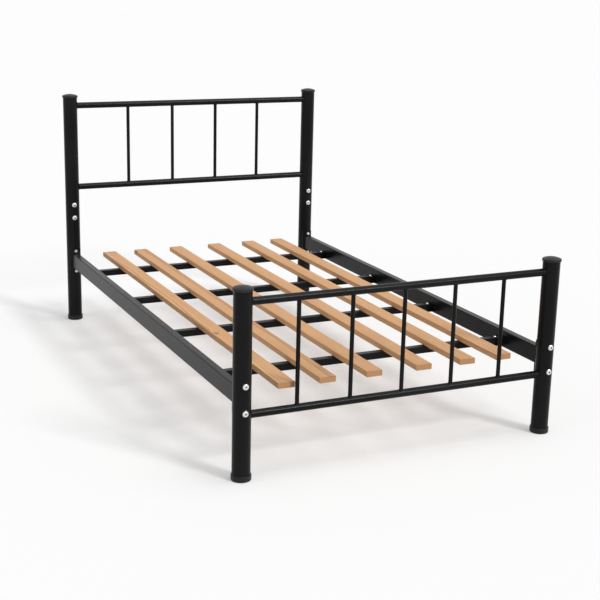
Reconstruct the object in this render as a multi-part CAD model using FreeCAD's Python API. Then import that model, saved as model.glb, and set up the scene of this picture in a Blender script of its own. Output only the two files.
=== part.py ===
"""Metal bed frame for a 1050 x 1900 mm mattress: two tubular end frames, two side rails, steel
cross-members and lengthwise pine slats, each piece as its own solid.

Frame of the part: origin on the floor at the centre of the bed, +Z up, +Y towards the head end,
+X to the right for a person who stands at the foot and looks at the head. Millimetres.
"""

import FreeCAD, Part
import math
import os

from FreeCAD import Vector

# Overall layout
post_pitch_x = 1130.0         # post centre to post centre, across the bed
post_pitch_y = 1950.0         # post centre to post centre, along the bed
head_height = 1000.0          # floor to the crown of the head caps
foot_height = 630.0           # floor to the crown of the foot caps

# Steel tube of the end frames
post_radius = 30.0
post_wall = 1.5
bar_radius = 13.0
bar_wall = 1.2
spindle_radius = 7.0
spindle_wall = 1.0
head_top_bar_z = 950.0
head_lower_bar_z = 597.0
foot_top_bar_z = 578.0
foot_lower_bar_z = 214.0
head_spindle_count = 4
head_spindle_pitch = 205.0    # the two outer gaps of the headboard are wider than this
foot_spindle_count = 5        # evenly spaced, so the pitch follows from the post pitch

# Moulded plastic ends of the posts
overhang = 3.0                # how far caps and glides stand out past the tube
cap_rim_height = 8.0
cap_dome_rise = 7.0
glide_floor = 5.0             # plastic under the end of the tube
glide_height = 20.0
rounding = 4.0                # bottom edge of a glide
cap_rounding = 1.2            # lower edge of a cap's rim, upper edge of a glide's collar
plug_clearance = 0.2
plug_wall = 2.5
plug_length = 20.0

# Joint half-way up each head post: an inner sleeve, one bolt in each half
head_joint_z = 493.5
head_joint_bolt_pitch = 57.0
sleeve_length = 140.0
sleeve_wall = 2.0

# Side rails, with a curved saddle welded on each end that hugs the post
rail_width = 28.0
rail_height = 62.0
rail_bottom_z = 243.0
rail_wall = 1.5
rail_corner = 3.0
saddle_thickness = 4.0
saddle_width = 46.0
saddle_height = 118.0
saddle_corner = 8.0
rail_bolt_middle_z = 272.0
rail_bolt_pitch = 88.0        # one bolt above the rail and one below it

# Slatted deck
slat_top_z = 298.0
slat_width = 58.0
slat_thickness = 20.0
slat_length = 1920.0
slat_rounding = 2.0
slat_offsets = (93.0, 262.0, 407.0)           # slat centres, each side of the middle of the bed
member_size = 25.0
member_wall = 1.5
member_corner = 2.0
member_count = 4
member_pitch = 480.0
member_end_gap = 1.0
seat_thickness = 3.0
seat_reach = 38.0             # from the rail's inner face towards the middle of the bed
seat_length = 46.0            # along the rail

# Fasteners
bolt_radius = 4.0             # M8
bolt_clearance = 0.2
bolt_head_radius = 10.0
bolt_head_height = 5.0
bolt_head_edge = 1.2
bolt_socket = 6.0             # across the flats of the hexagon
bolt_socket_depth = 3.0
rail_bolt_length = 75.0
joint_bolt_length = 16.0
nut_across_flats = 13.0
nut_height = 6.5
saddle_washer_radius = 12.0
saddle_washer_thickness = 1.2                 # at its thinnest, over the crest of the tube
seat_bolt_radius = 3.0        # M6
seat_bolt_head_radius = 6.0
seat_bolt_head_height = 3.3
seat_bolt_length = 35.0
seat_bolt_inset = 20.0        # from the rail's inner face
seat_nut_across_flats = 10.0
seat_nut_height = 5.0
screw_radius = 2.0
screw_head_radius = 4.0
screw_length = 28.0
screw_recess = 0.5            # screw heads lie a little below the face of the slat
screw_slot_width = 1.0
screw_slot_depth = 1.2

# Worked out from the above
post_x = post_pitch_x / 2
post_y = post_pitch_y / 2
post_bore = post_radius - post_wall
saddle_radius = post_radius + saddle_thickness
sleeve_radius = post_bore - plug_clearance
sleeve_bore = sleeve_radius - sleeve_wall
slat_bottom_z = slat_top_z - slat_thickness
member_bottom_z = slat_bottom_z - member_size
seat_bottom_z = member_bottom_z - seat_thickness
rail_inner_x = post_x - rail_width / 2
sides = {"left": -1, "right": 1}
ends = {"foot": -1, "head": 1}
rail_bolt_heights = [rail_bolt_middle_z + k * rail_bolt_pitch / 2 for k in (-1, 1)]
joint_bolt_heights = [head_joint_z + k * head_joint_bolt_pitch / 2 for k in (-1, 1)]
slat_places = sorted([-x for x in slat_offsets] + list(slat_offsets))
bolt_hole = bolt_radius + bolt_clearance

x_axis = Vector(1, 0, 0)
y_axis = Vector(0, 1, 0)
z_axis = Vector(0, 0, 1)
nearly_parallel = 0.999999    # cosine of the angle between two directions that count as one


def even_places(count, pitch):
    """Places at an even pitch, centred on the middle of the bed."""
    return [(k - (count - 1) / 2) * pitch for k in range(count)]


member_places = even_places(member_count, member_pitch)


def cylinder(radius, start, length, axis=z_axis):
    """Solid cylinder whose first face is centred on start."""
    return Part.makeCylinder(radius, length, start, axis)


def tube(radius, wall, start, length, axis=z_axis):
    outer = cylinder(radius, start, length, axis)
    return outer.cut(cylinder(radius - wall, start, length, axis))


def post_core(x, y, radius):
    """Tall cylinder about a post's axis, to cope other pieces against the post."""
    return cylinder(radius, Vector(x, y, 0), head_height)


def box(low, high):
    size = high.sub(low)
    return Part.makeBox(size.x, size.y, size.z, low)


def round_edges(solid, radius, direction):
    """Round every straight edge of a solid that runs along the direction."""
    tangents = [(e, e.tangentAt(e.FirstParameter)) for e in solid.Edges]
    edges = [e for e, tangent in tangents if abs(tangent.dot(direction)) > nearly_parallel]
    return solid.makeFillet(radius, edges)


def rectangular_tube(low, high, wall, corner, axis):
    """Square or rectangular tube with rounded corners, open at both ends along the axis."""
    across = Vector(1, 1, 1).sub(axis).multiply(wall)
    outer = round_edges(box(low, high), corner, axis)
    inner = round_edges(box(low.add(across), high.sub(across)), corner - wall, axis)
    return outer.cut(inner)


def hexagon(across_flats, height):
    """Hexagonal prism standing on the origin along +Z."""
    corner = across_flats / math.sqrt(3)
    turns = [math.radians(60 * k) for k in range(7)]
    outline = [Vector(corner * math.cos(a), corner * math.sin(a), 0) for a in turns]
    return Part.Face(Part.makePolygon(outline)).extrude(Vector(0, 0, height))


def turned(outline):
    """Solid of revolution about Z. Each step of the outline is a point (radius, height), or a pair
    of points for an arc that passes through the first and ends at the second."""
    edges = []
    here = outline[0]
    for step in outline[1:] + outline[:1]:
        if isinstance(step[0], tuple):
            through, end = step
            edges.append(Part.Arc(at(here), at(through), at(end)).toShape())
        else:
            end = step
            edges.append(Part.LineSegment(at(here), at(end)).toShape())
        here = end
    return Part.Face(Part.Wire(edges)).revolve(Vector(), z_axis, 360)


def at(point):
    return Vector(point[0], 0, point[1])


def dome(radius, low, high):
    """Arc of a shallow dome, from its edge at (radius, low) to its crown at (0, high)."""
    rise = high - low
    dome_radius = (radius ** 2 + rise ** 2) / (2 * rise)
    middle = radius / 2
    drop = dome_radius - math.sqrt(dome_radius ** 2 - middle ** 2)
    return (middle, high - drop), (0, high)


def rounded_corner(corner, from_side, to_side, radius):
    """Quarter-circle step round a square corner, from one side of it to the other."""
    pull = radius * (1 - math.sqrt(0.5))
    middle = tuple(c + pull * (a + b) for c, a, b in zip(corner, from_side, to_side))
    end = tuple(c + radius * b for c, b in zip(corner, to_side))
    return middle, end


def domed_head(radius, height, edge):
    """Low dome standing on the origin, with a short upright edge."""
    return turned([(0, 0), (radius, 0), (radius, edge), dome(radius, edge, height)])


def face_along_y(solid, place, direction):
    """Turn a piece that points along +Z so that it points along -Y or +Y, and put it in place."""
    solid.rotate(Vector(), x_axis, -90 * direction)
    solid.translate(place)
    return solid


# End frames

def post(x, y, low, high, bolt_heights, through):
    """Round post with its bolt holes; a hole that is not through pierces the foot side only."""
    solid = tube(post_radius, post_wall, Vector(x, y, low), high - low)
    for z in bolt_heights:
        length = 2 * post_radius if z in through else post_radius
        hole = cylinder(bolt_hole, Vector(x, y - post_radius, z), length, y_axis)
        solid = solid.cut(hole)
    return solid


def cross_bar(y, z):
    """Bar between two posts, its ends coped to the posts' round faces."""
    bar = tube(bar_radius, bar_wall, Vector(-post_x, y, z), post_pitch_x, x_axis)
    for side in sides.values():
        bar = bar.cut(post_core(side * post_x, y, post_radius))
    return bar


def spindle(x, y, low_bar_z, high_bar_z):
    """Thin upright tube, coped to the bars below and above it."""
    upright = tube(spindle_radius, spindle_wall, Vector(x, y, low_bar_z), high_bar_z - low_bar_z)
    for z in (low_bar_z, high_bar_z):
        upright = upright.cut(cylinder(bar_radius, Vector(-post_x, y, z), post_pitch_x, x_axis))
    return upright


def post_cap(x, y, crown_z):
    """Push-in cap: a rim that overhangs the tube, a shallow dome and a hollow plug."""
    rim = post_radius + overhang
    plug = post_bore - plug_clearance
    crown = cap_rim_height + cap_dome_rise
    cap = turned([
        (0, plug_wall),
        (plug - plug_wall, plug_wall),
        (plug - plug_wall, -plug_length),
        (plug, -plug_length),
        (plug, 0),
        (rim - cap_rounding, 0),
        rounded_corner((rim, 0), (-1, 0), (0, 1), cap_rounding),
        (rim, cap_rim_height),
        dome(rim, cap_rim_height, crown),
    ])
    cap.translate(Vector(x, y, crown_z - crown))
    return cap


def floor_glide(x, y):
    """Cup foot: the tube's end stands in the groove between the collar and the inner plug."""
    outer = post_radius + overhang
    groove_out = post_radius + plug_clearance
    groove_in = post_bore - plug_clearance
    plug_top = glide_height + plug_length / 2
    glide = turned([
        (0, 0),
        (outer - rounding, 0),
        rounded_corner((outer, 0), (-1, 0), (0, 1), rounding),
        (outer, glide_height - cap_rounding),
        rounded_corner((outer, glide_height), (0, -1), (-1, 0), cap_rounding),
        (groove_out, glide_height),
        (groove_out, glide_floor),
        (groove_in, glide_floor),
        (groove_in, plug_top),
        (groove_in - plug_wall, plug_top),
        (groove_in - plug_wall, glide_floor),
        (0, glide_floor),
    ])
    glide.translate(Vector(x, y, 0))
    return glide


def joint_sleeve(x, y):
    """Inner tube that bridges the joint of a head post, drilled for both bolts."""
    low = head_joint_z - sleeve_length / 2
    sleeve = tube(sleeve_radius, sleeve_wall, Vector(x, y, low), sleeve_length)
    for z in joint_bolt_heights:
        start = Vector(x, y - post_radius, z)
        sleeve = sleeve.cut(cylinder(bolt_hole, start, post_radius, y_axis))
    return sleeve


# Side rails

def side_rail(side):
    """Rectangular tube between the saddles, its ends coped to them."""
    low = Vector(side * post_x - rail_width / 2, -post_y, rail_bottom_z)
    high = Vector(side * post_x + rail_width / 2, post_y, rail_bottom_z + rail_height)
    rail = rectangular_tube(low, high, rail_wall, rail_corner, y_axis)
    for end in ends.values():
        rail = rail.cut(post_core(side * post_x, end * post_y, saddle_radius))
    return rail


def rail_saddle(side, end):
    """Curved plate on the end of a rail: a rounded rectangle bent to the face of the post."""
    x = side * post_x
    y = end * post_y
    inward = -end
    reach = saddle_radius + 1
    half_width = saddle_width / 2
    middle_z = rail_bolt_middle_z
    corners = sorted([y, y + inward * reach])
    blank = box(
        Vector(x - half_width, corners[0], middle_z - saddle_height / 2),
        Vector(x + half_width, corners[1], middle_z + saddle_height / 2),
    )
    blank = round_edges(blank, saddle_corner, y_axis)
    plate = blank.common(post_core(x, y, saddle_radius)).cut(post_core(x, y, post_radius))
    for z in rail_bolt_heights:
        start = Vector(x, corners[0], z)
        plate = plate.cut(cylinder(bolt_hole, start, reach, y_axis))
    return plate


# Deck

def cross_member(y):
    """Square tube across the bed that rests on a seat at each rail."""
    half_length = rail_inner_x - seat_thickness - member_end_gap
    low = Vector(-half_length, y - member_size / 2, member_bottom_z)
    high = Vector(half_length, y + member_size / 2, slat_bottom_z)
    member = rectangular_tube(low, high, member_wall, member_corner, x_axis)
    for side in sides.values():
        start = Vector(side * (rail_inner_x - seat_bolt_inset), y, member_bottom_z)
        member = member.cut(cylinder(seat_bolt_radius + bolt_clearance, start, member_size))
    for x in slat_places:
        start = Vector(x, y, slat_bottom_z - member_size / 2)
        member = member.cut(cylinder(screw_radius, start, member_size))
    return member


def member_seat(side, y):
    """Angle bracket on a rail's inner face: an upright leg and a leg under the cross-member."""
    rail_face = side * rail_inner_x
    leg = sorted([rail_face, rail_face - side * seat_thickness])
    shelf = sorted([rail_face, rail_face - side * seat_reach])
    low_y = y - seat_length / 2
    high_y = y + seat_length / 2
    upright = box(Vector(leg[0], low_y, seat_bottom_z), Vector(leg[1], high_y, slat_bottom_z))
    bottom = box(Vector(shelf[0], low_y, seat_bottom_z), Vector(shelf[1], high_y, member_bottom_z))
    seat = upright.fuse(bottom).removeSplitter()
    start = Vector(side * (rail_inner_x - seat_bolt_inset), y, seat_bottom_z)
    return seat.cut(cylinder(seat_bolt_radius + bolt_clearance, start, seat_thickness))


def slat(x):
    """Planed board with eased long edges and a countersunk hole over each cross-member."""
    low = Vector(x - slat_width / 2, -slat_length / 2, slat_bottom_z)
    high = Vector(x + slat_width / 2, slat_length / 2, slat_top_z)
    board = round_edges(box(low, high), slat_rounding, y_axis)
    for y in member_places:
        start = Vector(x, y, slat_bottom_z)
        board = board.cut(cylinder(screw_radius + bolt_clearance, start, slat_thickness))
        sink = countersink(screw_head_radius + screw_recess)
        sink.translate(Vector(x, y, slat_top_z))
        board = board.cut(sink)
    return board


def countersink(radius):
    """Cone of a right-angled countersink, point down, with its wide face at the origin."""
    return Part.makeCone(0, radius, radius, Vector(0, 0, -radius), z_axis)


# Fasteners

def socket_bolt(length):
    """Dome-headed bolt: the head stands on the origin along +Z, the shank runs down from it."""
    head = domed_head(bolt_head_radius, bolt_head_height, bolt_head_edge)
    recess = hexagon(bolt_socket, bolt_socket_depth)
    recess.translate(Vector(0, 0, bolt_head_height - bolt_socket_depth))
    shank = cylinder(bolt_radius, Vector(0, 0, -length), length)
    return head.cut(recess).fuse(shank).removeSplitter()


def rail_bolts(end):
    """Long bolts through the posts of one end into the weld nuts on the rail saddles."""
    standoff = post_radius + saddle_washer_thickness
    bolts = []
    for side in sides.values():
        for z in rail_bolt_heights:
            place = Vector(side * post_x, end * (post_y + standoff), z)
            bolts.append(face_along_y(socket_bolt(rail_bolt_length), place, end))
    return bolts


def joint_bolts():
    """Short bolts that hold both halves of each head post to its sleeve."""
    standoff = post_radius + saddle_washer_thickness
    bolts = []
    for side in sides.values():
        for z in joint_bolt_heights:
            place = Vector(side * post_x, post_y - standoff, z)
            bolts.append(face_along_y(socket_bolt(joint_bolt_length), place, -1))
    return bolts


def saddle_washer(x, y, z, outward):
    """Round washer under a bolt head, hollowed to the post's face."""
    reach = post_radius + saddle_washer_thickness
    blank = cylinder(saddle_washer_radius, Vector(x, y, z), reach, Vector(0, outward, 0))
    hole = cylinder(bolt_hole, Vector(x, y, z), reach, Vector(0, outward, 0))
    return blank.cut(post_core(x, y, post_radius)).cut(hole)


def saddle_washers():
    washers = []
    for side in sides.values():
        for end in ends.values():
            for z in rail_bolt_heights:
                washers.append(saddle_washer(side * post_x, end * post_y, z, end))
        for z in joint_bolt_heights:
            washers.append(saddle_washer(side * post_x, post_y, z, -1))
    return washers


def weld_nut_blank(length):
    nut = hexagon(nut_across_flats, length)
    return nut.cut(cylinder(bolt_radius, Vector(), length))


def rail_nuts():
    """Weld nuts on the back of the rail saddles, coped to their curved face."""
    nuts = []
    for side in sides.values():
        for end in ends.values():
            x = side * post_x
            y = end * post_y
            for z in rail_bolt_heights:
                nut = face_along_y(weld_nut_blank(saddle_radius + nut_height), Vector(x, y, z), -end)
                nuts.append(nut.cut(post_core(x, y, saddle_radius)))
    return nuts


def sleeve_nuts():
    """Weld nuts inside the sleeves, behind the short bolts."""
    nuts = []
    for side in sides.values():
        x = side * post_x
        for z in joint_bolt_heights:
            place = Vector(x, post_y - sleeve_bore + nut_height, z)
            nut = face_along_y(weld_nut_blank(nut_height), place, -1)
            nuts.append(nut.common(post_core(x, post_y, sleeve_bore)))
    return nuts


def seat_bolts():
    """Bolts down through each end of a cross-member and its seat."""
    bolts = []
    for y in member_places:
        for side in sides.values():
            bolt = domed_head(seat_bolt_head_radius, seat_bolt_head_height, bolt_head_edge)
            shank = cylinder(seat_bolt_radius, Vector(0, 0, -seat_bolt_length), seat_bolt_length)
            bolt = bolt.fuse(shank).removeSplitter()
            bolt.translate(Vector(side * (rail_inner_x - seat_bolt_inset), y, slat_bottom_z))
            bolts.append(bolt)
    return bolts


def seat_nuts():
    nuts = []
    for y in member_places:
        for side in sides.values():
            nut = hexagon(seat_nut_across_flats, seat_nut_height)
            nut = nut.cut(cylinder(seat_bolt_radius, Vector(), seat_nut_height))
            place = Vector(side * (rail_inner_x - seat_bolt_inset), y, seat_bottom_z - seat_nut_height)
            nut.translate(place)
            nuts.append(nut)
    return nuts


def slat_screw():
    """Countersunk screw with a cross recess, its head face at the origin, pointing down."""
    shank = cylinder(screw_radius, Vector(0, 0, -screw_length), screw_length)
    screw = countersink(screw_head_radius).fuse(shank).removeSplitter()
    half_slot = screw_slot_width / 2
    reach = screw_head_radius / 2
    for dx, dy in ((reach, half_slot), (half_slot, reach)):
        screw = screw.cut(box(Vector(-dx, -dy, -screw_slot_depth), Vector(dx, dy, 0)))
    return screw


def slat_screws():
    screws = []
    for x in slat_places:
        for y in member_places:
            screw = slat_screw()
            screw.translate(Vector(x, y, slat_top_z - screw_recess))
            screws.append(screw)
    return screws


def build():
    """Every node of the bed, by name; a group of identical fasteners is a list of solids."""
    nodes = {}
    for side_name, side in sides.items():
        x = side * post_x
        cap_seat = cap_rim_height + cap_dome_rise
        leg_bolts = rail_bolt_heights + joint_bolt_heights[:1]
        nodes[f"head_post_upper_{side_name}"] = post(
            x, post_y, head_joint_z, head_height - cap_seat, joint_bolt_heights[1:], [])
        nodes[f"head_leg_{side_name}"] = post(
            x, post_y, glide_floor, head_joint_z, leg_bolts, rail_bolt_heights)
        nodes[f"head_sleeve_{side_name}"] = joint_sleeve(x, post_y)
        nodes[f"foot_post_{side_name}"] = post(
            x, -post_y, glide_floor, foot_height - cap_seat, rail_bolt_heights, rail_bolt_heights)
        nodes[f"side_rail_{side_name}"] = side_rail(side)
        nodes[f"member_seats_{side_name}"] = [member_seat(side, y) for y in member_places]
        for end_name, end in ends.items():
            crown = head_height if end_name == "head" else foot_height
            nodes[f"post_cap_{end_name}_{side_name}"] = post_cap(x, end * post_y, crown)
            nodes[f"floor_glide_{end_name}_{side_name}"] = floor_glide(x, end * post_y)
            nodes[f"rail_saddle_{end_name}_{side_name}"] = rail_saddle(side, end)

    nodes["head_top_bar"] = cross_bar(post_y, head_top_bar_z)
    nodes["head_lower_bar"] = cross_bar(post_y, head_lower_bar_z)
    nodes["foot_top_bar"] = cross_bar(-post_y, foot_top_bar_z)
    nodes["foot_lower_bar"] = cross_bar(-post_y, foot_lower_bar_z)
    for number, x in enumerate(even_places(head_spindle_count, head_spindle_pitch), 1):
        nodes[f"head_spindle_{number}"] = spindle(x, post_y, head_lower_bar_z, head_top_bar_z)
    foot_spindle_pitch = post_pitch_x / (foot_spindle_count + 1)
    for number, x in enumerate(even_places(foot_spindle_count, foot_spindle_pitch), 1):
        nodes[f"foot_spindle_{number}"] = spindle(x, -post_y, foot_lower_bar_z, foot_top_bar_z)

    for number, y in enumerate(member_places, 1):
        nodes[f"cross_member_{number}"] = cross_member(y)
    for number, x in enumerate(slat_places, 1):
        nodes[f"slat_{number}"] = slat(x)

    nodes["rail_bolts_foot"] = rail_bolts(ends["foot"])
    nodes["rail_bolts_head"] = rail_bolts(ends["head"])
    nodes["rail_nuts"] = rail_nuts()
    nodes["head_joint_bolts"] = joint_bolts()
    nodes["head_joint_nuts"] = sleeve_nuts()
    nodes["saddle_washers"] = saddle_washers()
    nodes["seat_bolts"] = seat_bolts()
    nodes["seat_nuts"] = seat_nuts()
    nodes["slat_screws"] = slat_screws()
    return nodes


def export(nodes):
    os.makedirs("parts", exist_ok=True)
    for name, shape in nodes.items():
        solids = shape if isinstance(shape, list) else [shape]
        pieces = [solid for piece in solids for solid in piece.Solids]
        if len(pieces) != len(solids) or not all(piece.isValid() for piece in pieces):
            raise ValueError(f"{name} is not {len(solids)} sound solids")
        whole = pieces[0] if len(pieces) == 1 else Part.makeCompound(pieces)
        whole.exportStep(f"parts/{name}.step")
    print(len(nodes), "nodes written")


export(build())
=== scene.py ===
from math import atan2, cos, pi, radians, sin, sqrt
import bmesh
import bpy
from mathutils import Matrix, Vector


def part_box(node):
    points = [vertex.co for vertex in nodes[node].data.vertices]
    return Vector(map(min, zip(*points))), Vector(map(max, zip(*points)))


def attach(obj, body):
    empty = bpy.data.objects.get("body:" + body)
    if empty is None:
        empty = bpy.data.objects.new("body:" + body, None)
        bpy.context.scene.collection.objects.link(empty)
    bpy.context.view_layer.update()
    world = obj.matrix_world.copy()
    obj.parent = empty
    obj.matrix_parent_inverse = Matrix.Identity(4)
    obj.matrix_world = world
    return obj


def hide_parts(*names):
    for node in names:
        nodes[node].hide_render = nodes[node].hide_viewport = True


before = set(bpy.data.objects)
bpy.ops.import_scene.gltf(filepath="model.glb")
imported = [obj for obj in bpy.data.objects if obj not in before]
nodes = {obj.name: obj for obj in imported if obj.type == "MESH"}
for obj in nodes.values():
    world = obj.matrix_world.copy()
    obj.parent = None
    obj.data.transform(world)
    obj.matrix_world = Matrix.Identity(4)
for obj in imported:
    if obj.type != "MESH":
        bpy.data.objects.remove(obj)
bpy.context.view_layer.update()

print("bed frame: loaded", len(nodes), "parts")


def middleOf(node):
    low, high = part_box(node)
    return (low + high) / 2


# a socket that takes part in sums
class Wire:
    def __init__(self, look, socket):
        self.look = look
        self.socket = socket

    def maths(self, operation, first, second=0.0):
        return self.look.node("ShaderNodeMath", {"operation": operation}, {0: first, 1: second})

    def __add__(self, other):
        return self.maths("ADD", self, other)

    def __sub__(self, other):
        return self.maths("SUBTRACT", self, other)

    def __rsub__(self, other):
        return self.maths("SUBTRACT", other, self)

    def __mul__(self, other):
        return self.maths("MULTIPLY", self, other)

    def __truediv__(self, other):
        return self.maths("DIVIDE", self, other)

    def __pow__(self, other):
        return self.maths("POWER", self, other)

    __radd__ = __add__
    __rmul__ = __mul__

    def fraction(self):
        return self.maths("FRACT", self)

    def size(self):
        return self.maths("ABSOLUTE", self)

    # 0 below low, 1 above high, eased between
    def step(self, low, high):
        return self.look.node("ShaderNodeMapRange", {"interpolation_type": "SMOOTHSTEP"},
                              {0: self, 1: low, 2: high, 3: 0.0, 4: 1.0})


# the nodes of a material, or of the world when that is given as the owner
class Look:
    def __init__(self, name, owner=None):
        self.owner = owner or bpy.data.materials.new(name)
        self.owner.use_nodes = True
        self.tree = self.owner.node_tree
        self.tree.nodes.clear()
        self.place = self.node("ShaderNodeTexCoord", out="Object")

    # settings first, then the sockets' values or links
    def node(self, kind, settings={}, values={}, out=0):
        made = self.tree.nodes.new(kind)
        for key, value in settings.items():
            setattr(made, key, value)
        for key, value in values.items():
            if isinstance(value, Wire):
                self.tree.links.new(value.socket, made.inputs[key])
            else:
                made.inputs[key].default_value = value
        return Wire(self, made.outputs[out])

    def noise(self, size, detail=2.0, rough=0.5, place=None):
        values = {"Vector": place or self.place, "Scale": 1 / size, "Detail": detail, "Roughness": rough}
        return self.node("ShaderNodeTexNoise", {}, values, "Fac")

    def stretched(self, scale, shift=(0, 0, 0)):
        return self.node("ShaderNodeMapping", {}, {"Vector": self.place, "Scale": scale, "Location": shift})

    def parts(self, vector):
        return [self.node("ShaderNodeSeparateXYZ", {}, {0: vector}, axis) for axis in "XYZ"]

    def mixed(self, amount, first, second):
        first, second = [c if isinstance(c, Wire) else (*c, 1.0) for c in (first, second)]
        return self.node("ShaderNodeMix", {"data_type": "RGBA"}, {0: amount, 6: first, 7: second}, 2)

    def bump(self, height, depth):
        return self.node("ShaderNodeBump", {}, {"Height": height, "Distance": depth, "Strength": 1.0})

    def finish(self, colour, roughness, normal, fixed={}, metallic=0.0):
        values = {"Base Color": colour, "Roughness": roughness, "Normal": normal, "Metallic": metallic}
        return self.show(self.node("ShaderNodeBsdfPrincipled", {}, {**values, **fixed}))

    def show(self, shader, kind="ShaderNodeOutputMaterial"):
        output = self.tree.nodes.new(kind)
        self.tree.links.new(shader.socket, output.inputs["Surface"])
        return self.owner


powderValues = {
    "colour": (0.0050, 0.0050, 0.0054),
    "thinCoat": (0.0100, 0.0100, 0.0104),
    "roughness": 0.27,
    "gloss": 0.11,
    "peel": 0.0028,          # size of the orange peel
    "peelDepth": 0.00015,
}


def powderCoat():
    v = powderValues
    look = Look("powderCoatSatin")
    peel = look.noise(v["peel"], 1.5)
    grit = look.noise(0.0006, 1.0)
    drift = look.noise(0.32, 3.0)
    flecks = look.node("ShaderNodeTexVoronoi", {}, {"Vector": look.place, "Scale": 420.0}, "Distance")
    fleck = 1 - flecks.step(0.05, 0.16)
    colour = look.mixed(drift.step(0.35, 0.68), v["colour"], v["thinCoat"])
    colour = look.mixed(fleck * 0.25, colour, (0.018, 0.018, 0.019))
    roughness = v["roughness"] + (drift - 0.5) * 0.10 + (grit - 0.5) * 0.08
    normal = look.bump(peel + grit * 0.12, v["peelDepth"])
    return look.finish(colour, roughness, normal, {"Specular IOR Level": v["gloss"]})


plasticValues = {
    "colour": (0.0095, 0.0095, 0.0100),
    "rubbed": (0.0180, 0.0180, 0.0185),
    "gloss": 0.24,
    "grain": 0.0011,             # size of the mould's spark-eroded texture
    "roughness": 0.42,
    "nylonGrain": 0.0008,
    "nylonRoughness": 0.50,
}


def mouldedPlastic(name, grain, roughness):
    v = plasticValues
    look = Look(name)
    spark = look.noise(grain, 2.0, 0.6)
    flow = look.noise(0.03, 2.0)
    colour = look.mixed(flow.step(0.3, 0.75), v["colour"], v["rubbed"])
    rough = roughness + (spark - 0.5) * 0.12 + (flow - 0.5) * 0.08
    normal = look.bump(spark, 0.00005)
    return look.finish(colour, rough, normal, {"Specular IOR Level": v["gloss"]})


nickelValues = {
    "clean": (0.78, 0.77, 0.75),
    "stain": (0.58, 0.56, 0.53),
    "roughness": 0.20,
}
# painted shade for the bolt heads' hex sockets: darkened nickel colours in place of the shade that falls in
# the recess
socketPaintedShadeValues = {
    "clean": (0.12, 0.115, 0.11),    # painted shade: dark nickel colour standing for the shade down in the socket
    "stain": (0.05, 0.048, 0.045),
    "roughness": 0.45,
}


def brightNickel(name, clean, stain, roughness):
    look = Look(name)
    haze = look.noise(0.004, 3.0)
    scuff = look.noise(1.0, 3.0, 0.6, look.stretched((900, 900, 220)))
    colour = look.mixed(haze.step(0.45, 0.8), clean, stain)
    rough = roughness + (haze - 0.5) * 0.16 + (scuff - 0.5) * 0.12
    normal = look.bump(scuff, 0.000012)
    return look.finish(colour, rough, normal, {}, 1.0)


def zincPlate():
    look = Look("zincPlated")
    spangle = look.node("ShaderNodeTexVoronoi", {}, {"Vector": look.place, "Scale": 520.0}, "Color")
    cloud = look.noise(0.006, 4.0)
    tone = look.parts(spangle)[0]
    colour = look.mixed(cloud.step(0.3, 0.75), (0.56, 0.57, 0.57), (0.40, 0.41, 0.42))
    colour = look.mixed(tone * 0.22, colour, (0.70, 0.71, 0.69))
    rough = 0.34 + (cloud - 0.5) * 0.25 + tone * 0.06
    normal = look.bump(cloud, 0.00004)
    return look.finish(colour, rough, normal, {}, 1.0)


pineValues = {
    "early": (0.760, 0.440, 0.225),
    "late": (0.440, 0.195, 0.070),
    "knot": (0.155, 0.056, 0.018),
    "ring": 0.0034,              # one year's growth
    "roughness": 0.62,
}


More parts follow.
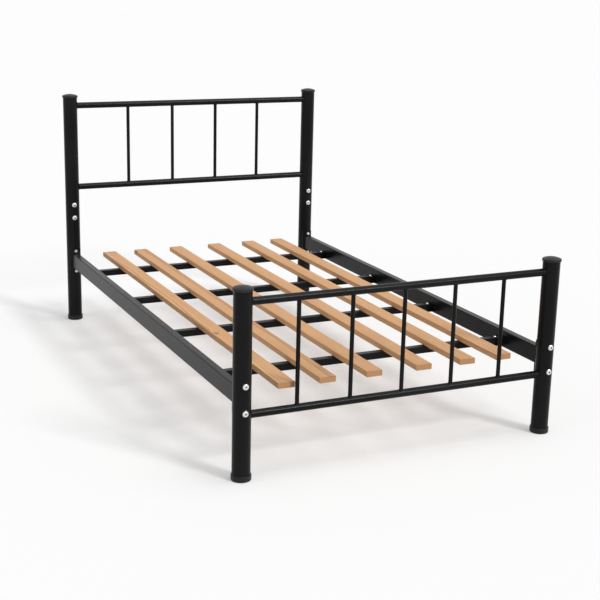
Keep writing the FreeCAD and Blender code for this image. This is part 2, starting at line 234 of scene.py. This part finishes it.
# each slat is cut from another place in the log
def pine(name, heart, shift):
    v = pineValues
    look = Look(name)
    grainPlace = look.stretched((1, 1, 1), shift)
    knotPlace = look.stretched((6, 4.6, 6), shift)
    knots = look.node("ShaderNodeTexVoronoi", {}, {"Vector": knotPlace, "Scale": 1.0})
    nearKnot = 1 - knots.step(0.0, 0.20)
    sway = look.noise(1.0, 2.0, 0.5, look.stretched((2.5, 1.1, 2.5), shift)) - 0.5
    wobble = look.noise(1.0, 2.0, 0.5, look.stretched((26, 3.4, 26), shift)) - 0.5
    x, y, z = look.parts(look.place)
    across = x - heart[0] + sway * 0.022
    down = z - heart[1] + sway * 0.016
    reach = (across * across + down * down) ** 0.5
    reach = reach + wobble * 0.0024 + nearKnot * nearKnot * 0.016
    seasonPlace = look.node("ShaderNodeCombineXYZ", {}, {0: reach * 75.0, 1: shift[0]})
    season = look.noise(1.0, 1.0, 0.5, seasonPlace)
    reach = reach + (season - 0.5) * 0.013       # fast years and slow years
    year = (reach / v["ring"]).fraction()
    late = year.step(0.42, 0.93) * (1 - year.step(0.95, 1.0))
    uneven = look.noise(1.0, 1.0, 0.5, look.stretched((120, 1.5, 120), shift))
    fibre = look.noise(1.0, 3.0, 0.7, look.stretched((2600, 34, 2600), shift))
    pores = look.noise(1.0, 1.0, 0.5, look.stretched((1500, 9, 1500), shift)).step(0.66, 0.8)
    colour = look.mixed(late * (0.35 + uneven * 0.85), v["early"], v["late"])
    colour = look.mixed((fibre - 0.5).size() * 0.55, colour, (0.56, 0.30, 0.12))
    colour = look.mixed(pores * 0.35, colour, (0.40, 0.17, 0.055))
    patch = look.noise(0.22, 2.0, 0.5, grainPlace)
    colour = look.mixed(patch.step(0.35, 0.75) * 0.30, colour, (0.66, 0.36, 0.14))
    knotRing = (knots * 95.0).fraction().step(0.2, 0.9) * 0.30
    knotColour = look.mixed(knotRing, v["knot"], (0.30, 0.125, 0.045))
    colour = look.mixed(1 - knots.step(0.030, 0.048), colour, knotColour)
    colour = look.mixed((1 - knots.step(0.046, 0.110)) * 0.45, colour, (0.46, 0.22, 0.075))
    # end grain drinks light, and shows the saw
    facing = look.parts(look.node("ShaderNodeNewGeometry", out="Normal"))[1].size()
    endGrain = facing.step(0.80, 0.95)
    colour = look.mixed(endGrain * 0.42, colour, (0.36, 0.165, 0.060))
    saw = look.noise(1.0, 2.0, 0.5, look.stretched((60, 1, 1900), shift))
    rough = v["roughness"] - late * 0.10 + endGrain * 0.18 + (fibre - 0.5) * 0.12
    relief = fibre * 0.40 + late * 0.12 + endGrain * saw * 1.2
    normal = look.bump(relief, 0.00014)
    return look.finish(colour, rough, normal, {"Specular IOR Level": 0.35})


coat = powderCoat()
plastic = mouldedPlastic("plasticMoulded", plasticValues["grain"], plasticValues["roughness"])
nylon = mouldedPlastic("nylonMoulded", plasticValues["nylonGrain"], plasticValues["nylonRoughness"])
nickel = brightNickel("nickelBright", **nickelValues)
socketPaintedShadeLook = brightNickel("nickelSocketPaintedShade", **socketPaintedShadeValues)
zinc = zincPlate()
slatNodes = sorted(n for n in nodes if n.startswith("slat_") and n != "slat_screws")
# for each slat, how far from its middle the heart of the log lies, and where in the log it was cut
slatCuts = [
    ((-0.03, 0.240), (0.0, 0.0, 0.0)), ((0.02, 0.330), (1.7, 2.3, 0.4)), ((-0.06, 0.255), (3.1, 0.9, 1.2)),
    ((0.05, 0.345), (4.6, 3.8, 2.1)), ((0.03, 0.225), (6.2, 1.6, 2.9)), ((-0.04, 0.350), (7.9, 4.4, 3.5)),
]
pineLooks = {}
for node, (heart, shift) in zip(slatNodes, slatCuts):
    offset = middleOf(node).x
    pineLooks[node] = pine("pine" + node[-1], (offset + heart[0], heart[1]), shift)
print("bed frame: finishes ready")

slotLooks = {
    "powder_coat": coat,
    "black_plastic": plastic,
    "black_nylon": nylon,
    "bright_nickel": nickel,
    "zinc_steel": zinc,
}
for name, node in nodes.items():
    for place in node.material_slots:
        slotName = place.material.name.split(".")[0]
        place.material = pineLooks[name] if name in pineLooks else slotLooks[slotName]
print("bed frame: CAD parts painted")


def addPiece(name, mesh, look, standsFor=(), sharpAngle=30):
    mesh.shade_smooth()
    mesh.set_sharp_from_angle(angle=radians(sharpAngle))
    for each in look if isinstance(look, list) else [look]:
        mesh.materials.append(each)
    piece = bpy.data.objects.new(name, mesh)
    bpy.context.scene.collection.objects.link(piece)
    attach(piece, "root")
    if standsFor:
        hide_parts(*standsFor)
    return piece


def meshFrom(shape, name):
    mesh = bpy.data.meshes.new(name)
    shape.to_mesh(mesh)
    shape.free()
    return mesh


# an outline of (radius, height) pairs from the axis out and back to it, spun round Z
def turned(shape, outline, steps):
    line = [shape.verts.new((radius, 0, height)) for radius, height in outline]
    edges = [shape.edges.new(pair) for pair in zip(line, line[1:])]
    bmesh.ops.spin(shape, geom=line + edges, cent=(0, 0, 0), axis=(0, 0, 1), dvec=(0, 0, 0),
                   angle=2 * pi, steps=steps, use_merge=True, use_duplicate=False)
    bmesh.ops.remove_doubles(shape, verts=shape.verts[:], dist=0.000005)
    bmesh.ops.recalc_face_normals(shape, faces=shape.faces[:])


def arc(centre, radius, start, end, count):
    angles = [radians(start + (end - start) * k / count) for k in range(count + 1)]
    return [(centre[0] + radius * cos(a), centre[1] + radius * sin(a)) for a in angles]


weldValues = {
    "barBead": 0.0021,
    "spindleBead": 0.0015,
    "railBead": 0.0024,
    "seatBead": 0.0018,
    "seatHalf": 0.0230,          # from the middle of a seat to its edge
    "seatInset": 0.0020,         # from the end of the seat's edge to the end of the bead
    "saddleRadius": 0.0340,
    "railCorner": 0.0030,
    "ripple": 0.0019,            # one puddle of the weld
    "rippleDepth": 0.13,
}


# beads follow the line where two parts meet, and swell once for each puddle
def weldRun(line, path, bead, closed=True):
    v = weldValues
    lengths = [(b - a).length for a, b in zip(path, path[1:])]
    total = sum(lengths) + ((path[0] - path[-1]).length if closed else 0)
    puddles = max(3, round(total / v["ripple"]))
    spline = line.splines.new("POLY")
    spline.points.add(len(path) - 1)
    spline.use_cyclic_u = closed
    along = 0.0
    for k, place in enumerate(path):
        share = along / total
        beat = abs(sin(pi * puddles * share))
        swell = 1 - v["rippleDepth"] + v["rippleDepth"] * beat + 0.05 * sin(5 * 2 * pi * share)
        if not closed:
            swell *= min(1.0, 0.25 + 14 * min(share, 1 - share))
        spline.points[k].co = (*place, 1.0)
        spline.points[k].radius = swell * bead
        along += lengths[k] if k < len(lengths) else 0


def weldPiece(name, runs):
    line = bpy.data.curves.new(name, "CURVE")
    line.dimensions = "3D"
    line.bevel_depth = 1.0
    line.bevel_resolution = 2
    line.use_fill_caps = True
    for path, bead, closed in runs:
        weldRun(line, path, bead, closed)
    holder = bpy.data.objects.new(name + "Line", line)
    bpy.context.scene.collection.objects.link(holder)
    bpy.context.view_layer.update()
    mesh = bpy.data.meshes.new_from_object(holder.evaluated_get(bpy.context.evaluated_depsgraph_get()))
    bpy.data.objects.remove(holder)
    return addPiece(name, mesh, coat, (), 60)


# where a level bar runs into an upright post
def barOnPost(bar, post, count=168):
    low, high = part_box(bar)
    centre = (low + high) / 2
    radius = (high.z - low.z) / 2
    postMiddle = middleOf(post)
    postLow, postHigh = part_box(post)
    postRadius = (postHigh.x - postLow.x) / 2
    inward = -1 if postMiddle.x > 0 else 1
    path = []
    for k in range(count):
        a = 2 * pi * k / count
        sideways = radius * cos(a)
        x = postMiddle.x + inward * sqrt(postRadius ** 2 - sideways ** 2)
        path.append(Vector((x, centre.y + sideways, centre.z + radius * sin(a))))
    return path


# where a spindle runs into a bar above or below it
def spindleOnBar(spindle, bar, count=92):
    low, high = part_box(spindle)
    centre = (low + high) / 2
    radius = (high.x - low.x) / 2
    barLow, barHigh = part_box(bar)
    barMiddle = (barLow + barHigh) / 2
    barRadius = (barHigh.z - barLow.z) / 2
    inward = 1 if centre.z > barMiddle.z else -1
    path = []
    for k in range(count):
        a = 2 * pi * k / count
        z = barMiddle.z + inward * sqrt(barRadius ** 2 - (radius * sin(a)) ** 2)
        path.append(Vector((centre.x + radius * cos(a), centre.y + radius * sin(a), z)))
    return path


# round the end of a rail, on the hollow face of its saddle
def railOnSaddle(rail, post):
    saddleRadius = weldValues["saddleRadius"]
    corner = weldValues["railCorner"]
    low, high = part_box(rail)
    postMiddle = middleOf(post)
    inward = -1 if postMiddle.y > 0 else 1
    halfWide = (high.x - low.x) / 2
    halfHigh = (high.z - low.z) / 2
    middle = (low + high) / 2
    outline = []
    corners = [(halfWide, halfHigh, 0), (-halfWide, halfHigh, 90)]
    corners += [(-halfWide, -halfHigh, 180), (halfWide, -halfHigh, 270)]
    for cx, cz, start in corners:
        centre = (cx - corner * (1 if cx > 0 else -1), cz - corner * (1 if cz > 0 else -1))
        outline += arc(centre, corner, start, start + 90, 6)
    dense = []
    for a, b in zip(outline, outline[1:] + outline[:1]):
        gap = sqrt((b[0] - a[0]) ** 2 + (b[1] - a[1]) ** 2)
        cuts = max(1, round(gap / 0.00048))
        dense += [(a[0] + (b[0] - a[0]) * k / cuts, a[1] + (b[1] - a[1]) * k / cuts) for k in range(cuts)]
    return [Vector((middle.x + dx, postMiddle.y + inward * sqrt(saddleRadius ** 2 - dx ** 2), middle.z + dz))
            for dx, dz in dense]


footPosts = ["foot_post_left", "foot_post_right"]
runs = [(barOnPost(bar, post), weldValues["barBead"], True)
        for bar in ("foot_top_bar", "foot_lower_bar") for post in footPosts]
runs += [(spindleOnBar(f"foot_spindle_{n}", bar), weldValues["spindleBead"], True)
         for n in range(1, 6) for bar in ("foot_top_bar", "foot_lower_bar")]
weldPiece("weldsFootboard", runs)
headPosts = ["head_post_upper_left", "head_post_upper_right"]
runs = [(barOnPost(bar, post), weldValues["barBead"], True)
        for bar in ("head_top_bar", "head_lower_bar") for post in headPosts]
runs += [(spindleOnBar(f"head_spindle_{n}", bar), weldValues["spindleBead"], True)
         for n in range(1, 5) for bar in ("head_top_bar", "head_lower_bar")]
weldPiece("weldsHeadboard", runs)

runs = []
for side in ("left", "right"):
    for post in ("foot_post_", "head_leg_"):
        runs.append((railOnSaddle("side_rail_" + side, post + side), weldValues["railBead"], True))
weldPiece("weldsRails", runs)

# each angle seat is welded up both its edges
runs = []
for side in ("left", "right"):
    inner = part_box("side_rail_" + side)[1 if side == "left" else 0].x
    seatLow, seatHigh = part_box("member_seats_" + side)
    for n in range(1, 5):
        y = middleOf(f"cross_member_{n}").y
        for edge in (-weldValues["seatHalf"], weldValues["seatHalf"]):
            low = seatLow.z + weldValues["seatInset"]
            high = seatHigh.z - weldValues["seatInset"]
            path = [Vector((inner, y + edge, low + (high - low) * k / 60)) for k in range(61)]
            runs.append((path, weldValues["seatBead"], False))
weldPiece("weldsSeats", runs)
print("bed frame: welds laid")


boltValues = {
    "headRadius": 0.0100,
    "headHeight": 0.0050,
    "headEdge": 0.0012,
    "socket": 0.0060,            # across the flats
    "socketDepth": 0.0030,
    "shank": 0.0040,
    "pitch": 0.00125,
    "steps": 48,
    "longLength": 0.075,
    "longThread": 0.030,
    "shortLength": 0.016,
    "shortThread": 0.012,
}
nutValues = {
    "railFlats": 0.0130,
    "railHeight": 0.0073,
    "seatFlats": 0.0100,
    "seatHeight": 0.0050,
    "seatHole": 0.0030,
    "standoff": 0.0332,          # from the middle of a post to the flat of its weld nut
}


# plain shank, then grooves of a thread, down to the tip
def threadOutline(radius, pitch, length, threaded):
    depth = pitch * 0.58
    z = -(length - threaded)
    outline = [(radius, z)]
    while z - pitch > -length + 0.0006:
        outline += [(radius - depth, z - pitch * 0.5), (radius, z - pitch * 0.94), (radius, z - pitch)]
        z -= pitch
    return outline + [(radius - depth, -length), (0, -length)]


# pulls a ring out from a circle to a hexagon that touches it
def toHexagon(vert):
    angle = atan2(vert.co.y, vert.co.x) % (pi / 3) - pi / 6
    vert.co.x /= cos(angle)
    vert.co.y /= cos(angle)


# dome-headed bolt along +Z, the head's underside at the origin
def socketBolt(length, threaded):
    v = boltValues
    shape = bmesh.new()
    flat = v["socket"] / 2
    top = v["headHeight"] - 0.00003
    floor = v["headHeight"] - v["socketDepth"]
    rim = v["headRadius"]
    edge = v["headEdge"]
    land = flat + 0.0022
    outline = [(0, floor - 0.0009), (flat * 0.93, floor), (flat, floor + 0.0001), (flat, top - 0.0003)]
    outline += [(flat + 0.00028, v["headHeight"]), (land, top)]
    crown = [k / 10 * pi / 2 for k in range(1, 11)]
    outline += [(land + (rim - edge * 0.35 - land) * sin(a), edge + (top - edge) * cos(a)) for a in crown]
    outline += [(rim, edge * 0.75), (rim, 0.0002), (rim - 0.0002, 0), (v["shank"], 0)]
    outline += threadOutline(v["shank"], v["pitch"], length, threaded)
    turned(shape, outline, v["steps"])
    for vert in shape.verts:
        radius = sqrt(vert.co.x ** 2 + vert.co.y ** 2)
        if vert.co.z > floor - 0.0001 and flat * 0.9 < radius < flat + 0.0004:
            toHexagon(vert)
    # faces down in the hex socket take the second look, whose dark colour is painted shade
    for face in shape.faces:
        middle = face.calc_center_median()
        if middle.z > 0 and sqrt(middle.x ** 2 + middle.y ** 2) < flat + 0.00005:
            face.material_index = 1
    return shape


seatBoltValues = {
    "headRadius": 0.0060,
    "headHeight": 0.0033,
    "headEdge": 0.0010,
    "shank": 0.0030,
    "pitch": 0.0010,
    "length": 0.035,
    "threaded": 0.014,
}


def seatBolt():
    v = seatBoltValues
    shape = bmesh.new()
    rise = v["headHeight"] - v["headEdge"]
    crown = [k / 12 * pi / 2 for k in range(13)]
    outline = [(v["headRadius"] * sin(a), v["headEdge"] + rise * cos(a)) for a in crown]
    outline += [(v["headRadius"], 0.0002), (v["headRadius"] - 0.0002, 0), (v["shank"], 0)]
    outline += threadOutline(v["shank"], v["pitch"], v["length"], v["threaded"])
    turned(shape, outline, 36)
    return shape


# nut along +Z from the origin, its corners chamfered at both ends
def hexNut(acrossFlats, height, hole):
    shape = bmesh.new()
    flat = acrossFlats / 2
    face = flat * 0.97
    outline = [(hole + 0.0004, 0), (face, 0), (flat, 0.0003), (flat, height - 0.0003), (face, height)]
    outline += [(hole + 0.0004, height), (hole, height - 0.0004), (hole, 0.0004), (hole + 0.0004, 0)]
    turned(shape, outline, 48)
    for vert in shape.verts:
        if sqrt(vert.co.x ** 2 + vert.co.y ** 2) > flat - 0.00002:
            toHexagon(vert)
            drop = (sqrt(vert.co.x ** 2 + vert.co.y ** 2) - face) * 0.58
            vert.co.z = height - drop if vert.co.z > height / 2 else drop
    return shape


def lieAlong(facing):
    return Matrix.Rotation(radians(90 if facing < 0 else -90), 4, "X")


def fastenerGroup(name, node, makeOne, poses, looks, sharpAngle=28):
    whole = bmesh.new()
    for number, (place, turn) in enumerate(poses):
        one = makeOne()
        spinBack = Matrix.Rotation(radians(17 + 53 * number), 4, "Z")
        bmesh.ops.transform(one, matrix=Matrix.Translation(place) @ turn @ spinBack, verts=one.verts[:])
        bit = meshFrom(one, "bit")
        whole.from_mesh(bit)
        bpy.data.meshes.remove(bit)
    return addPiece(name, meshFrom(whole, name), looks, (node,), sharpAngle)


def boltPoses(node, posts, facing):
    low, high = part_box(node)
    rim = boltValues["headRadius"]
    face = (low.y + boltValues["headHeight"]) if facing < 0 else (high.y - boltValues["headHeight"])
    return [(Vector((middleOf(post).x, face, z)), lieAlong(facing))
            for post in posts for z in (low.z + rim, high.z - rim)]


def longBolt():
    return socketBolt(boltValues["longLength"], boltValues["longThread"])


def shortBolt():
    return socketBolt(boltValues["shortLength"], boltValues["shortThread"])


def railNut():
    return hexNut(nutValues["railFlats"], nutValues["railHeight"], boltValues["shank"])


def seatNut():
    return hexNut(nutValues["seatFlats"], nutValues["seatHeight"], nutValues["seatHole"])


headLegs = ["head_leg_left", "head_leg_right"]
# the second look paints shade into the bolt heads' sockets
boltLooks = [nickel, socketPaintedShadeLook]
footPoses = boltPoses("rail_bolts_foot", footPosts, -1)
headPoses = boltPoses("rail_bolts_head", headLegs, 1)
jointPoses = boltPoses("head_joint_bolts", headLegs, -1)
fastenerGroup("boltsFootRail", "rail_bolts_foot", longBolt, footPoses, boltLooks)
fastenerGroup("boltsHeadRail", "rail_bolts_head", longBolt, headPoses, boltLooks)
fastenerGroup("boltsHeadJoint", "head_joint_bolts", shortBolt, jointPoses, boltLooks)

# weld nuts stand on the saddles, on the far side of each post from the bolt heads
nutPoses = []
for poses, posts, facing in ((footPoses, footPosts, 1), (headPoses, headLegs, -1)):
    base = middleOf(posts[0]).y + facing * nutValues["standoff"]
    nutPoses += [(Vector((place.x, base, place.z)), lieAlong(facing)) for place, turn in poses]
fastenerGroup("nutsRail", "rail_nuts", railNut, nutPoses, zinc)

boltPosesDown = []
nutPosesDown = []
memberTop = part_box("cross_member_1")[1].z
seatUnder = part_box("seat_nuts")[0].z
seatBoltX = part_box("seat_bolts")[1].x - seatBoltValues["headRadius"]
for n in range(1, 5):
    y = middleOf(f"cross_member_{n}").y
    for side in (-1, 1):
        boltPosesDown.append((Vector((side * seatBoltX, y, memberTop)), Matrix()))
        nutPosesDown.append((Vector((side * seatBoltX, y, seatUnder)), Matrix()))
fastenerGroup("boltsSeat", "seat_bolts", seatBolt, boltPosesDown, nickel)
fastenerGroup("nutsSeat", "seat_nuts", seatNut, nutPosesDown, zinc)
print("bed frame: bolts turned")


capValues = {
    "rim": 0.03299,
    "rimHeight": 0.0080,
    "rise": 0.0070,
    "groove": 0.0004,
    "plug": 0.0283,
    "steps": 96,
}


# push-in cap with a witness mark at its crown, a groove round the dome and a parting line
def postCap(shape):
    v = capValues
    rim = v["rim"]
    crown = v["rimHeight"] + v["rise"]
    ball = (rim ** 2 + v["rise"] ** 2) / (2 * v["rise"])
    outline = [(0, crown - 0.00025), (0.0021, crown - 0.00025), (0.0025, crown)]
    for k in range(1, 19):
        radius = 0.0025 + (rim - 0.0015 - 0.0025) * k / 18
        outline.append((radius, crown - ball + sqrt(ball ** 2 - radius ** 2)))
    plug = v["plug"]
    last = outline[-1]
    outline += [(last[0] + 0.00015, last[1] - v["groove"]), (last[0] + 0.00045, last[1] - v["groove"])]
    outline += arc((rim - 0.00105, v["rimHeight"] - 0.0009), 0.0009, 75, 0, 5)
    outline += [(rim - 0.00012, 0.00420), (rim, 0.00405), (rim - 0.00012, 0.00390)]
    outline += arc((rim - 0.00125, 0.0011), 0.0011, 0, -90, 5)
    outline += [(plug, 0), (plug, -0.0195), (plug - 0.0005, -0.020), (plug - 0.0025, -0.020)]
    outline += [(plug - 0.0025, 0.0020), (plug - 0.0030, 0.0025), (0, 0.0025)]
    turned(shape, outline, v["steps"])


glideValues = {
    "outer": 0.03299,
    "height": 0.0200,
    "groove": 0.0302,
    "plug": 0.0283,
    "steps": 96,
}


# cup foot that stands on a raised ring
def floorGlide(shape):
    v = glideValues
    outer = v["outer"]
    plug = v["plug"]
    outline = [(0, 0.0012), (0.0210, 0.0012), (0.0222, 0.0003), (0.0232, 0), (outer - 0.0040, 0)]
    outline += arc((outer - 0.0040, 0.0040), 0.0040, -80, 0, 8)
    outline += [(outer - 0.00014, 0.0098), (outer, 0.0100), (outer - 0.00016, 0.0102)]
    outline += arc((outer - 0.0016, v["height"] - 0.0013), 0.0013, 0, 90, 6)
    outline += [(v["groove"], v["height"]), (v["groove"], 0.0050), (plug, 0.0050), (plug, 0.0295)]
    outline += [(plug - 0.0005, 0.0300), (plug - 0.0025, 0.0300), (plug - 0.0025, 0.0050), (0, 0.0050)]
    turned(shape, outline, v["steps"])


def mouldedPiece(name, node, makeOne, z):
    shape = bmesh.new()
    makeOne(shape)
    base = middleOf(node)
    base.z = z
    bmesh.ops.translate(shape, vec=base, verts=shape.verts[:])
    addPiece(name, meshFrom(shape, node), plastic, (node,), 25)


for end in ("foot", "head"):
    for side in ("left", "right"):
        node = f"post_cap_{end}_{side}"
        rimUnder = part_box(node)[1].z - capValues["rimHeight"] - capValues["rise"]
        mouldedPiece(f"cap{end.title()}{side.title()}", node, postCap, rimUnder)
        mouldedPiece(f"glide{end.title()}{side.title()}", f"floor_glide_{end}_{side}", floorGlide, 0)
print("bed frame: caps and glides moulded")


slatValues = {
    "bow": 0.0017,
    "cup": 0.0005,
    "skew": 0.0016,
    "cuts": 30,
}


# boards dry a little bowed, cupped and out of square, and their screws go with them
def dryOut(co, number, low, high):
    v = slatValues
    share = (co.y - low.y) / (high.y - low.y)
    side = (co.x - (low.x + high.x) / 2) / (high.x - low.x) * 2
    lift = (co.z - low.z) / (high.z - low.z)
    bow = v["bow"] * (sin(pi * share) * cos(2.1 * number) + 0.35 * sin(3 * pi * share + number))
    edge = 0.0003 * sin(23 * share + 5 * number) * side
    end = (2 * share - 1) ** 31
    square = v["skew"] * (1 + side * cos(1.7 * number + (1 if end > 0 else 3))) / 2
    co.x += bow + edge
    co.z -= v["cup"] * (1 - min(1, side * side)) * lift
    co.y -= end * square


def copyOf(node):
    shape = bmesh.new()
    shape.from_mesh(nodes[node].data)
    bmesh.ops.remove_doubles(shape, verts=shape.verts[:], dist=0.000002)
    return shape


def freshMesh(shape, name):
    mesh = meshFrom(shape, name)
    old = mesh.attributes.get("custom_normal")
    if old:
        mesh.attributes.remove(old)
    mesh.materials.clear()
    return mesh


for number, node in enumerate(slatNodes):
    low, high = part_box(node)
    shape = copyOf(node)
    for k in range(1, slatValues["cuts"]):
        cut = (0, low.y + (high.y - low.y) * k / slatValues["cuts"], 0)
        whole = shape.verts[:] + shape.edges[:] + shape.faces[:]
        bmesh.ops.bisect_plane(shape, geom=whole, plane_co=cut, plane_no=(0, 1, 0))
    for vert in shape.verts:
        dryOut(vert.co, number, low, high)
    addPiece("board" + str(number + 1), freshMesh(shape, node), pineLooks[node], (node,), 35)
shape = copyOf("slat_screws")
slatBoxes = [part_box(node) for node in slatNodes]
for vert in shape.verts:
    gaps = [abs(low.x + high.x - 2 * vert.co.x) for low, high in slatBoxes]
    number = gaps.index(min(gaps))
    dryOut(vert.co, number, *slatBoxes[number])
addPiece("screwsSlat", freshMesh(shape, "slat_screws"), zinc, ("slat_screws",), 25)
print("bed frame: slats dried and screwed down")


studioValues = {
    "cameraPlace": (-1.9764, -4.3572, 1.5839),
    "heading": 25.346,
    "pitch": 15.214,
    "roll": 1.35,
    "lens": 75.41,
    "floorSize": 400.0,
    "floorColour": 0.80,
    "floorLift": 0.242,          # pale floor for the eye and for gloss, no light on the bed
    "surround": 0.34,
}
# each lamp's bearing (clockwise from the head end), height in degrees, strength and spread
lampValues = {
    "keyBox": {"bearing": 151, "height": 36, "strength": 1.35, "spread": 13},
    "overhead": {"bearing": 120, "height": 76, "strength": 1.00, "spread": 34},
    "leftBox": {"bearing": 262, "height": 26, "strength": 0.18, "spread": 40},
}


def addCamera():
    v = studioValues
    lens = bpy.data.cameras.new("camera")
    lens.lens = v["lens"]
    lens.sensor_width = 36.0
    camera = bpy.data.objects.new("camera", lens)
    bpy.context.scene.collection.objects.link(camera)
    turn = Matrix.Rotation(radians(-v["heading"]), 4, "Z")
    tilt = Matrix.Rotation(radians(90 - v["pitch"]), 4, "X")
    roll = Matrix.Rotation(radians(v["roll"]), 4, "Z")
    camera.matrix_world = Matrix.Translation(v["cameraPlace"]) @ turn @ tilt @ roll
    bpy.context.scene.camera = camera


def addLamp(name, bearing, height, strength, spread):
    light = bpy.data.lights.new(name, "SUN")
    light.energy = strength
    light.angle = radians(spread)
    lamp = bpy.data.objects.new(name, light)
    bpy.context.scene.collection.objects.link(lamp)
    lamp.rotation_euler = (radians(90 - height), 0, radians(180 - bearing))


def seenDirectly(look):
    path = "ShaderNodeLightPath"
    seen = look.node(path, out="Is Camera Ray") + look.node(path, out="Is Glossy Ray")
    return seen + look.node(path, out="Is Transmission Ray")


def addFloor():
    v = studioValues
    look = Look("floorPale")
    tone = v["floorColour"]
    ground = look.node("ShaderNodeBsdfDiffuse", {}, {"Color": (tone, tone, tone, 1)})
    lift = look.node("ShaderNodeEmission", {}, {"Strength": seenDirectly(look) * v["floorLift"]})
    look.show(look.node("ShaderNodeAddShader", {}, {0: ground, 1: lift}))
    shape = bmesh.new()
    bmesh.ops.create_grid(shape, x_segments=8, y_segments=8, size=v["floorSize"] / 2)
    mesh = meshFrom(shape, "floor")
    mesh.materials.append(look.owner)
    floor = bpy.data.objects.new("floor", mesh)
    bpy.context.scene.collection.objects.link(floor)


def addWorld():
    world = bpy.data.worlds.new("studio")
    bpy.context.scene.world = world
    look = Look("studio", world)
    white = {"Color": (1, 1, 1, 1)}
    light = look.node("ShaderNodeBackground", {}, {**white, "Strength": studioValues["surround"]})
    shown = look.node("ShaderNodeBackground", {}, {**white, "Strength": 1.0})
    mix = look.node("ShaderNodeMixShader", {}, {0: seenDirectly(look), 1: light, 2: shown})
    look.show(mix, "ShaderNodeOutputWorld")


addCamera()
for name, lamp in lampValues.items():
    addLamp(name, **lamp)
addFloor()
addWorld()
bpy.context.scene.view_settings.view_transform = "Standard"
print("bed frame: studio set")
